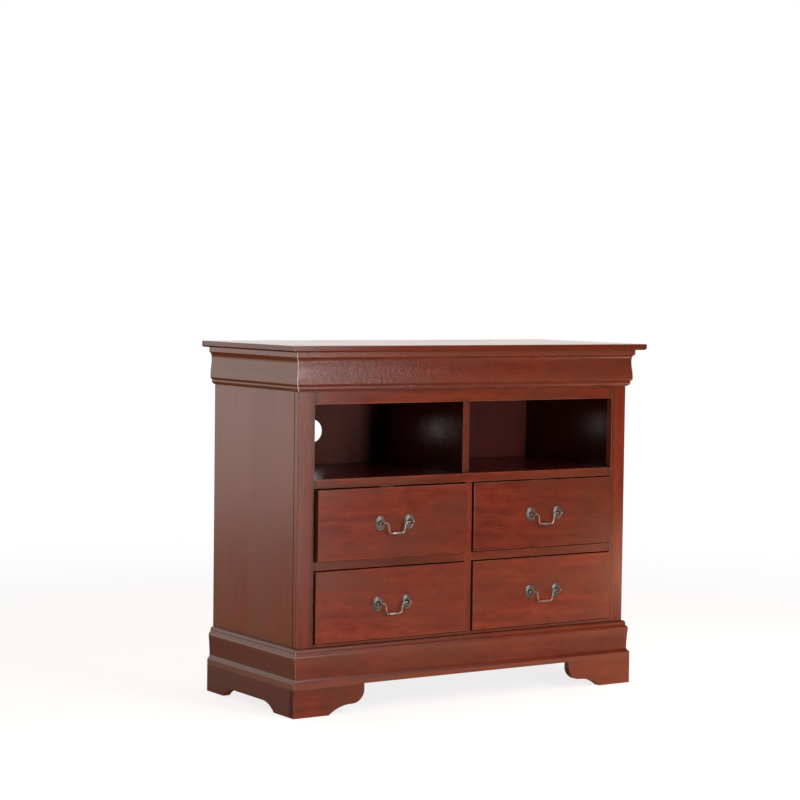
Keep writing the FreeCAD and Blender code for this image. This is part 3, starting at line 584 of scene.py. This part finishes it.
# The right foot is painted lighter than the left: painted light, for the light that falls on the
# right of the base.
for side, shade in (("left", 0.85), ("right", 1.32)):
    case_board("foot_front_" + side, "moulding_cherry", X, FRAME, shade=shade, contrast=1.6)
    case_board("apron_" + side, "moulding_cherry", Y, SATIN_BROWN, shade=0.56, contrast=0.9,
               drawn_out=6.0, seams=[(Y, -1)], ripple=CALM)

# ---------------------------------------------------------------- running gear
# Glue blocks, drawer tracks and drawer stops, planed from pale hardwood and left bare.
# The blocks are glued and rubbed in, and the tracks and the stops are screwed.

BARE = {"deep": (0.440, 0.2700, 0.1450, 1.0), "bright": (0.620, 0.4300, 0.2600, 1.0),
        "cloud": (0.500, 0.3200, 0.1850, 1.0), "pool": (0.300, 0.1700, 0.0900, 1.0),
        "end": (0.270, 0.1500, 0.0800, 1.0), "worn_and_sheen": (0.660, 0.5000, 0.3400, 1.0),
        "roughness": 0.50, "coat": 0.0}

case_board("glue_blocks", "plain_wood", Z, BARE)
case_board("drawer_tracks", "plain_wood", Y, BARE)
case_board("drawer_stops", "plain_wood", X, BARE)

# ---------------------------------------------------------------- drawers
# Each is a box of pale hardwood, dovetailed at the corners behind a cherry front, with a
# thin plywood bottom in a groove and a nylon guide behind.

# The fronts' shades are partly their own tone and partly painted light: the lower fronts are
# lighter, as more light from the floor falls on them.
DRAWERS = {"upper_left": 0.96, "upper_right": 0.83, "lower_left": 1.12, "lower_right": 1.12}
DRAWER_WOOD = dict(BARE, roughness=0.40, coat=0.15)
BOX_ARRIS = 0.0004
THIN_ARRIS = 0.0003
PULL_SPAN = 0.084
NYLON = (0.80, 0.79, 0.74, 1.0)
NYLON_GRIME = (0.66, 0.64, 0.58, 1.0)
GRIME = 0.012
GRIT = 0.0012
GRIT_DEPTH = 0.0002
GRIT_STRENGTH = 0.12


def gritty(paint, height):
    """The normals of a surface with a very fine grit."""
    return paint.node("Bump", {}, {"Strength": GRIT_STRENGTH, "Distance": GRIT_DEPTH,
                                   "Height": height})


nylon, paint = new_material("nylon")
place = paint.node("TexCoord", {}, {}, "Object")
grime = noise(paint, place, GRIME).ramp(0.35, 0.75)
surface = paint.node("BsdfPrincipled", {}, {
    "Base Color": grime.tint(NYLON, NYLON_GRIME), "Roughness": 0.34 + 0.14 * grime,
    "Normal": gritty(paint, noise(paint, place, GRIT))})
paint.node("OutputMaterial", {}, {"Surface": surface})


def pull_middle(drawer):
    """The point on a drawer's face midway between the posts of its pull."""
    low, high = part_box(drawer + "_pull_mounts")
    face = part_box(drawer + "_front")[0].y
    return Vector(((low.x + high.x) / 2, face, (low.z + high.z) / 2))


for drawer, shade in DRAWERS.items():
    body = drawer + "_drawer"
    front = drawer + "_front"
    middle = pull_middle(drawer)
    pulls = [(middle.x + sign * PULL_SPAN / 2, middle.z) for side, sign in SIDES]
    fitted(rounded(front), body, "front_cherry",
           wood(front, X, OUTSIDE, shade, contrast=1.8, face=(Y, 1, DRAWER_WOOD), rosettes=pulls),
           front)
    for part, grain in (("left_side", Y), ("right_side", Y), ("back", X)):
        node = drawer + "_" + part
        box_wood = wood(node, grain, DRAWER_WOOD)
        fitted(rounded(node, BOX_ARRIS), body, "drawer_wood", box_wood, node)
    node = drawer + "_bottom"
    fitted(rounded(node, THIN_ARRIS), body, "drawer_bottom", wood(node, X, BARE_PLY), node)
    node = drawer + "_guide"
    fitted(rounded(node, THIN_ARRIS), body, "guide_plastic", nylon, node)

# ---------------------------------------------------------------- rosettes, posts and nuts
# Each pull has two oval rosettes of cast zinc in antique pewter, dark in its hollows and
# rubbed on its rounds. A turned post stands on each, cross-drilled for the bail, and its
# stud runs through the drawer front to a nut inside.

PEWTER = (0.255, 0.215, 0.204, 1.0)
# The posts are a darker pewter, partly as painted shade for the dark round their feet.
POST_PEWTER_AND_SHADE = (0.110, 0.090, 0.084, 1.0)
PEWTER_BRIGHT = (0.560, 0.460, 0.435, 1.0)
PEWTER_DARK = (0.030, 0.022, 0.018, 1.0)
TARNISH = 0.009
TARNISH_SPREAD = (0.32, 0.68)
METAL_ROUNDS = (0.52, 0.62)
METAL_ROUND_STRENGTH = 0.50
METAL_HOLLOWS = (0.36, 0.48)
MM = 0.001
ROSETTE_THICKNESS = 3 * MM
# Shares of the rosette's half height and of its thickness, from the rim inwards.
ROSETTE_RINGS = ((1.0, 0.0), (1.0, 0.22), (0.985, 0.31), (0.955, 0.36), (0.91, 0.34),
                 (0.885, 0.27), (0.855, 0.27), (0.82, 0.38), (0.76, 0.57), (0.69, 0.74),
                 (0.60, 0.88), (0.52, 0.96), (0.45, 1.0), (0.39, 0.95), (0.34, 0.72),
                 (0.30, 0.55), (0.22, 0.55))
ROSETTE_SIDES = 48
POST_REACH = 11 * MM
POST_SIDES = 24
KNOB_RADIUS = 4.4 * MM
# The knob's rings, in degrees from its equator.
KNOB_START = -48.0
KNOB_STEP = 15.5
KNOB_STEPS = 9
WIRE_RADIUS = 2 * MM
PIN_CLEARANCE = 0.08 * MM
DRILL_SIDES = 24
STUD_END = -25.5 * MM
# Radius and reach of the post's turned foot and neck, in millimetres.
POST_FOOT = ((3.6, 1.7), (3.8, 2.4), (3.6, 3.2), (2.9, 4.2), (2.5, 5.4), (2.5, 6.6))
FRONT_THICKNESS = 20 * MM
NUT_SIDES = 6
NUT_RADIUS = 4.6 * MM
NUT_THICKNESS = 4 * MM
NUT_CHAMFER = 0.5 * MM
NUT_CHAMFERED = 0.86 * NUT_RADIUS


def pewter(name, base, bright, tarnish, roughness):
    """The antique finish: base metal, dark in its hollows and bright on its rounds."""
    metal, paint = new_material(name)
    place = paint.node("TexCoord", {}, {}, "Object")
    bend = paint.node("NewGeometry", {}, {}, "Pointiness")
    patches = noise(paint, place, TARNISH, 3.0).ramp(*TARNISH_SPREAD)
    colour = (patches * tarnish).tint(base, PEWTER_DARK)
    colour = (bend.ramp(*METAL_ROUNDS) * METAL_ROUND_STRENGTH).tint(colour, bright)
    colour = ((1.0 - bend.ramp(*METAL_HOLLOWS)) * HOLLOW_STRENGTH).tint(colour, PEWTER_DARK)
    surface = paint.node("BsdfPrincipled", {}, {
        "Base Color": colour, "Metallic": 0.9, "Roughness": roughness + 0.08 * patches,
        "Normal": gritty(paint, noise(paint, place, GRIT, 2.0))})
    paint.node("OutputMaterial", {}, {"Surface": surface})
    return metal


antique_pewter = pewter("antique_pewter", PEWTER, PEWTER_BRIGHT, 0.22, 0.41)
dark_pewter_and_shade = pewter("dark_pewter_and_shade", POST_PEWTER_AND_SHADE, PEWTER, 0.40, 0.34)


def turned_form(name, sides, rings):
    """A closed form about the Y axis through rings of (radius, reach in front of the face)."""
    bpy.ops.object.select_all(action="DESELECT")
    radius, reach = rings[0]
    bpy.ops.mesh.primitive_circle_add(vertices=sides, radius=radius, fill_type="NGON",
                                      location=(0, -reach, 0), rotation=(math.pi / 2, 0, 0))
    form = bpy.context.object
    form.name = name
    bpy.ops.object.transform_apply(location=True, rotation=True, scale=True)
    bpy.ops.object.mode_set(mode="EDIT")
    bpy.ops.mesh.select_all(action="SELECT")
    for next_radius, next_reach in rings[1:]:
        bpy.ops.mesh.extrude_region_move(
            TRANSFORM_OT_translate={"value": (0, reach - next_reach, 0)})
        grow = next_radius / radius
        bpy.ops.transform.resize(value=(grow, 1, grow), center_override=(0, 0, 0))
        radius, reach = next_radius, next_reach
    bpy.ops.mesh.select_all(action="SELECT")
    bpy.ops.mesh.normals_make_consistent(inside=False)
    bpy.ops.object.mode_set(mode="OBJECT")
    return form


def cut_out(form, cutter):
    """Cuts one form out of another and removes the cutter."""
    bpy.context.view_layer.objects.active = form
    bpy.ops.object.modifier_add(type="BOOLEAN")
    form.modifiers[0].object = cutter
    form.modifiers[0].solver = "EXACT"
    bpy.ops.object.modifier_apply(modifier=form.modifiers[0].name)
    bpy.data.objects.remove(cutter)


def drilled(form, length, reach, rotation):
    """Cuts the wire's or the stud's hole through a form, at this reach in front of the face."""
    bpy.ops.object.select_all(action="DESELECT")
    bpy.ops.mesh.primitive_cylinder_add(vertices=DRILL_SIDES, radius=WIRE_RADIUS + PIN_CLEARANCE,
                                        depth=length, location=(0, -reach, 0), rotation=rotation)
    cut_out(form, bpy.context.object)


def smoothed(form, angle):
    """Shades a form smooth, but for edges sharper than this angle in degrees."""
    bpy.ops.object.select_all(action="DESELECT")
    form.select_set(True)
    bpy.context.view_layer.objects.active = form
    bpy.ops.object.shade_smooth_by_angle(angle=math.radians(angle))


rosette = turned_form("rosette_model", ROSETTE_SIDES, [
    (share * ROSETTE_HEIGHT / 2, rise * ROSETTE_THICKNESS) for share, rise in ROSETTE_RINGS])
drilled(rosette, 3 * ROSETTE_THICKNESS, 0, (math.pi / 2, 0, 0))
rosette.data.transform(Matrix.Diagonal((ROSETTE_WIDTH / ROSETTE_HEIGHT, 1, 1, 1)))
smoothed(rosette, 60)

knob_rings = []
for step in range(KNOB_STEPS):
    angle = math.radians(KNOB_START + KNOB_STEP * step)
    knob_rings.append((KNOB_RADIUS * math.cos(angle), POST_REACH + KNOB_RADIUS * math.sin(angle)))
foot_rings = [(radius * MM, reach * MM) for radius, reach in POST_FOOT]
stud_rings = [(WIRE_RADIUS, STUD_END), (WIRE_RADIUS, foot_rings[0][1])]
post = turned_form("post_model", POST_SIDES, stud_rings + foot_rings + knob_rings)
drilled(post, 4 * KNOB_RADIUS, POST_REACH, (0, math.pi / 2, 0))
smoothed(post, 50)

nut = turned_form("nut_model", NUT_SIDES, [
    (NUT_CHAMFERED, -FRONT_THICKNESS), (NUT_RADIUS, -FRONT_THICKNESS - NUT_CHAMFER),
    (NUT_RADIUS, -FRONT_THICKNESS - NUT_THICKNESS + NUT_CHAMFER),
    (NUT_CHAMFERED, -FRONT_THICKNESS - NUT_THICKNESS)])
drilled(nut, 3 * NUT_THICKNESS, -FRONT_THICKNESS - NUT_THICKNESS / 2, (math.pi / 2, 0, 0))
smoothed(nut, 20)


def copied(model, name, place, turn=Matrix.Identity(4)):
    """A copy of a model with a mesh of its own, turned and moved to its place."""
    piece = bpy.data.objects.new(name, model.data.copy())
    bpy.context.collection.objects.link(piece)
    piece.data.transform(Matrix.Translation(place) @ turn)
    return piece


for drawer in DRAWERS:
    middle = pull_middle(drawer)
    for side, sign in SIDES:
        place = Vector((middle.x + sign * PULL_SPAN / 2, middle.y, middle.z))
        for part, model, metal in (("rosette", rosette, antique_pewter),
                                   ("post", post, dark_pewter_and_shade), ("nut", nut, dark_pewter_and_shade)):
            piece = copied(model, f"{drawer}_{part}_{side}", place)
            fitted(piece, drawer + "_drawer", "pull_metal", metal, drawer + "_pull_mounts")
for model in (rosette, post, nut):
    bpy.data.objects.remove(model)

# ---------------------------------------------------------------- bails
# A swan-neck handle of round wire for each pull, rubbed bright and swollen in the middle.
# It is sprung apart and hangs in the cross-drilled posts by its two headed ends.

RUBBED_BRIGHT = (0.880, 0.710, 0.670, 1.0)
BAIL_TIP = 50.7 * MM
BAIL_TIP_RADIUS = 1.5 * MM
# Lengths along the wire and its radii at their ends, in millimetres.
BAIL_TIP_STEPS = ((1.0, 2.5), (1.0, 2.7), (1.6, 2.7), (0.6, 2.35), (0.5, 2.0))
BAIL_SIDES = 18
SHOULDER_START = 30.92 * MM
SHOULDER_BEND = 6.5 * MM
FOOT_BEND = 8.5 * MM
BEND_TURN = math.radians(81.69)
NECK_LENGTH = 13.31 * MM
# Distances from the middle of the bail and the wire's radii there, in millimetres.
SWELL_STEPS = ((14.15, 2.0), (12.0, 2.05), (9.0, 2.4), (6.0, 2.74), (3.0, 2.94), (0.0, 3.0))
BEND_STEPS = 9
DOUBLES = 0.01 * MM

rubbed_pewter = pewter("rubbed_pewter", PEWTER_BRIGHT, RUBBED_BRIGHT, 0.18, 0.33)

bpy.ops.object.select_all(action="DESELECT")
wire = BAIL_TIP_RADIUS
bpy.ops.mesh.primitive_circle_add(vertices=BAIL_SIDES, radius=wire, fill_type="NGON",
                                  location=(-BAIL_TIP, -POST_REACH, 0),
                                  rotation=(0, math.pi / 2, 0))
bail = bpy.context.object
bpy.ops.object.transform_apply(location=True, rotation=True, scale=True)
bpy.ops.object.mode_set(mode="EDIT")
bpy.ops.mesh.select_all(action="SELECT")
along = -BAIL_TIP
for step, radius in BAIL_TIP_STEPS:
    bpy.ops.mesh.extrude_region_move(TRANSFORM_OT_translate={"value": (step * MM, 0, 0)})
    grow = radius * MM / wire
    bpy.ops.transform.resize(value=(1, grow, grow), center_override=(0, -POST_REACH, 0))
    wire = radius * MM
    along += step * MM
bpy.ops.mesh.extrude_region_move(TRANSFORM_OT_translate={"value": (-SHOULDER_START - along, 0, 0)})
bpy.ops.mesh.spin(steps=BEND_STEPS, angle=-BEND_TURN, axis=(0, 1, 0),
                  center=(-SHOULDER_START, -POST_REACH, -SHOULDER_BEND))
neck = Vector((math.cos(BEND_TURN), 0, -math.sin(BEND_TURN)))
bpy.ops.mesh.extrude_region_move(TRANSFORM_OT_translate={"value": neck * NECK_LENGTH})
outward = Vector((math.sin(BEND_TURN), 0, math.cos(BEND_TURN)))
neck_start = Vector((-SHOULDER_START, -POST_REACH, -SHOULDER_BEND)) + outward * SHOULDER_BEND
foot_centre = neck_start + neck * NECK_LENGTH + outward * FOOT_BEND
bpy.ops.mesh.spin(steps=BEND_STEPS, angle=BEND_TURN, axis=(0, 1, 0), center=foot_centre)
foot_level = foot_centre.z - FOOT_BEND
wire = WIRE_RADIUS
along = foot_centre.x
for distance, radius in SWELL_STEPS:
    bpy.ops.mesh.extrude_region_move(
        TRANSFORM_OT_translate={"value": (-distance * MM - along, 0, 0)})
    grow = radius * MM / wire
    bpy.ops.transform.resize(value=(1, grow, grow),
                             center_override=(0, -POST_REACH, foot_level))
    wire = radius * MM
    along = -distance * MM
bpy.ops.mesh.delete(type="ONLY_FACE")
bpy.ops.object.mode_set(mode="OBJECT")
bpy.ops.object.modifier_add(type="MIRROR")
bail.modifiers[0].merge_threshold = 2 * DOUBLES
bpy.ops.object.modifier_apply(modifier=bail.modifiers[0].name)
bpy.ops.object.mode_set(mode="EDIT")
bpy.ops.mesh.select_all(action="SELECT")
bpy.ops.mesh.remove_doubles(threshold=DOUBLES)
bpy.ops.mesh.normals_make_consistent(inside=False)
bpy.ops.object.mode_set(mode="OBJECT")
smoothed(bail, 60)

for drawer in DRAWERS:
    piece = copied(bail, drawer + "_bail_handle", pull_middle(drawer))
    fitted(piece, drawer + "_bail", "pull_metal", rubbed_pewter, drawer + "_pull_bail")
bpy.data.objects.remove(bail)

# ---------------------------------------------------------------- screws
# Steel wood screws with a cross recess: two through each guide into the drawer back, and
# two up through each of the blocks that hold the top.

STEEL = (0.62, 0.60, 0.55, 1.0)
DULL_STEEL = (0.40, 0.38, 0.34, 1.0)
DULL_PATCH = 0.002
SCREW_SIDES = 24
HEAD_RADIUS = 3.4 * MM
HEAD_PROUD = 0.45 * MM
# Radius and reach of the shank's end, taper and neck, in millimetres.
SHANK = ((0.9, -9.0), (1.4, -8.0), (1.6, -2.4))
HEAD_RIM = -0.2 * MM
# Shares of the head's radius and of its height, from the rim inwards.
HEAD_DOME = ((1.0, 0.0), (0.86, 0.75), (0.5, 1.0))
RECESS_LENGTH = 3.8 * MM
RECESS_WIDTH = 0.9 * MM
RECESS_DEPTH = 1.6 * MM
SCREWS_APART = 30 * MM
SCREW_BELOW_FLANGE_TOP = 10 * MM
TOP_BLOCK = 30 * MM
TOP_BLOCK_LENGTH = 67.5 * MM
HOUSING_DEPTH = 6 * MM
SCREW_INSET = 18 * MM

steel, paint = new_material("zinc_steel")
place = paint.node("TexCoord", {}, {}, "Object")
dull = noise(paint, place, DULL_PATCH, 3.0).ramp(0.3, 0.7)
surface = paint.node("BsdfPrincipled", {}, {
    "Base Color": dull.tint(STEEL, DULL_STEEL),
    "Metallic": 1.0, "Roughness": 0.28 + 0.15 * dull})
paint.node("OutputMaterial", {}, {"Surface": surface})

screw = turned_form("screw_model", SCREW_SIDES, [
    *((radius * MM, reach * MM) for radius, reach in SHANK), (HEAD_RADIUS, HEAD_RIM),
    *((share * HEAD_RADIUS, rise * HEAD_PROUD) for share, rise in HEAD_DOME)])
for wide, tall in ((RECESS_LENGTH, RECESS_WIDTH), (RECESS_WIDTH, RECESS_LENGTH)):
    bpy.ops.object.select_all(action="DESELECT")
    bpy.ops.mesh.primitive_cube_add(size=1, location=(0, -HEAD_PROUD, 0))
    cutter = bpy.context.object
    bpy.ops.transform.resize(value=(wide, 2 * RECESS_DEPTH, tall))
    bpy.ops.object.transform_apply(location=True, rotation=True, scale=True)
    cut_out(screw, cutter)
smoothed(screw, 40)

backward = Matrix.Rotation(math.pi, 4, "Z")
downward = Matrix.Rotation(math.pi / 2, 4, "X")
for drawer in DRAWERS:
    low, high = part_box(drawer + "_guide")
    for side, sign in SIDES:
        place = Vector(((low.x + high.x) / 2 + sign * SCREWS_APART / 2, high.y,
                        high.z - SCREW_BELOW_FLANGE_TOP))
        piece = copied(screw, f"{drawer}_guide_screw_{side}", place, backward)
        fitted(piece, drawer + "_drawer", "pull_metal", steel)

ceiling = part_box("bay_divider")[1].z
frame_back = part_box("stile_left")[1].y
back_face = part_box("back_panel")[0].y
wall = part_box("shelf_board")[1].x - HOUSING_DEPTH
for side, sign in SIDES:
    for row, start in (("front", frame_back), ("rear", back_face - TOP_BLOCK_LENGTH)):
        for index, along in enumerate((SCREW_INSET, TOP_BLOCK_LENGTH - SCREW_INSET)):
            place = Vector((sign * (wall - TOP_BLOCK / 2), start + along, ceiling - TOP_BLOCK))
            piece = copied(screw, f"top_screw_{side}_{row}_{index}", place, downward)
            fitted(piece, "case", "pull_metal", steel)
bpy.data.objects.remove(screw)

# ---------------------------------------------------------------- staples
# Wire staples hold the back to the sides, the shelf and the bottom. Each crown lies in a
# slot that it has pressed into the plywood.

CROWN = 10 * MM
STAPLE_WIRE = 0.55 * MM
STAPLE_BEND = 0.9 * MM
STAPLE_LEG = 3.5 * MM
STAPLE_SIDES = 8
STAPLE_BEND_STEPS = 4
SLOT_DEPTH = 1.3 * MM
CROWN_BELOW = 0.7 * MM
CUTTER_WIDTH = 3 * STAPLE_WIRE
CUTTER_LENGTH = CROWN + 3 * STAPLE_WIRE
SIDE_INSET = 5 * MM
HALF_BOARD = 9 * MM
STAPLES_IN_ROW = 7
SIDE_ROW_START = 195 * MM
SIDE_ROW_STEP = 105 * MM
CROSS_ROW_START = -405 * MM
CROSS_ROW_STEP = 135 * MM

bpy.ops.object.select_all(action="DESELECT")
bpy.ops.mesh.primitive_circle_add(vertices=STAPLE_SIDES, radius=STAPLE_WIRE, fill_type="NGON",
                                  location=(-CROWN / 2, -STAPLE_LEG - STAPLE_BEND, 0),
                                  rotation=(math.pi / 2, 0, 0))
staple = bpy.context.object
bpy.ops.object.transform_apply(location=True, rotation=True, scale=True)
bpy.ops.object.mode_set(mode="EDIT")
bpy.ops.mesh.select_all(action="SELECT")
bpy.ops.mesh.extrude_region_move(TRANSFORM_OT_translate={"value": (0, STAPLE_LEG, 0)})
bpy.ops.mesh.spin(steps=STAPLE_BEND_STEPS, angle=math.pi / 2, axis=(0, 0, 1),
                  center=(-CROWN / 2 + STAPLE_BEND, -STAPLE_BEND, 0))
bpy.ops.mesh.extrude_region_move(
    TRANSFORM_OT_translate={"value": (CROWN - 2 * STAPLE_BEND, 0, 0)})
bpy.ops.mesh.spin(steps=STAPLE_BEND_STEPS, angle=math.pi / 2, axis=(0, 0, 1),
                  center=(CROWN / 2 - STAPLE_BEND, -STAPLE_BEND, 0))
bpy.ops.mesh.extrude_region_move(TRANSFORM_OT_translate={"value": (0, -STAPLE_LEG, 0)})
bpy.ops.mesh.select_all(action="SELECT")
bpy.ops.mesh.remove_doubles(threshold=DOUBLES)
bpy.ops.mesh.normals_make_consistent(inside=False)
bpy.ops.object.mode_set(mode="OBJECT")
smoothed(staple, 60)

low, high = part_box("back_panel")
spots = []
for side, edge in (("left", low.x + SIDE_INSET), ("right", high.x - SIDE_INSET)):
    for index in range(STAPLES_IN_ROW):
        spots.append((f"{side}_{index}", edge, SIDE_ROW_START + SIDE_ROW_STEP * index, True))
for row, board in (("shelf", "shelf_board"), ("bottom", "case_bottom")):
    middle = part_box(board)[1].z - HALF_BOARD
    for index in range(STAPLES_IN_ROW):
        spots.append((f"{row}_{index}", CROSS_ROW_START + CROSS_ROW_STEP * index, middle, False))

cutters = []
for name, across, up, upright in spots:
    turn = Matrix.Rotation(math.pi / 2 if upright else 0.0, 4, "Y")
    place = Vector((across, high.y - CROWN_BELOW, up))
    fitted(copied(staple, "staple_" + name, place, turn), "case", "pull_metal", steel)
    bpy.ops.object.select_all(action="DESELECT")
    bpy.ops.mesh.primitive_cube_add(size=1, location=(across, high.y, up))
    slot = (CUTTER_LENGTH, 2 * SLOT_DEPTH, CUTTER_WIDTH)
    bpy.ops.transform.resize(value=slot[::-1] if upright else slot)
    cutters.append(bpy.context.object)
bpy.data.objects.remove(staple)
for cutter in cutters:
    cutter.select_set(True)
bpy.ops.object.join()
cut_out(bpy.data.objects["back_panel_piece"], bpy.context.object)
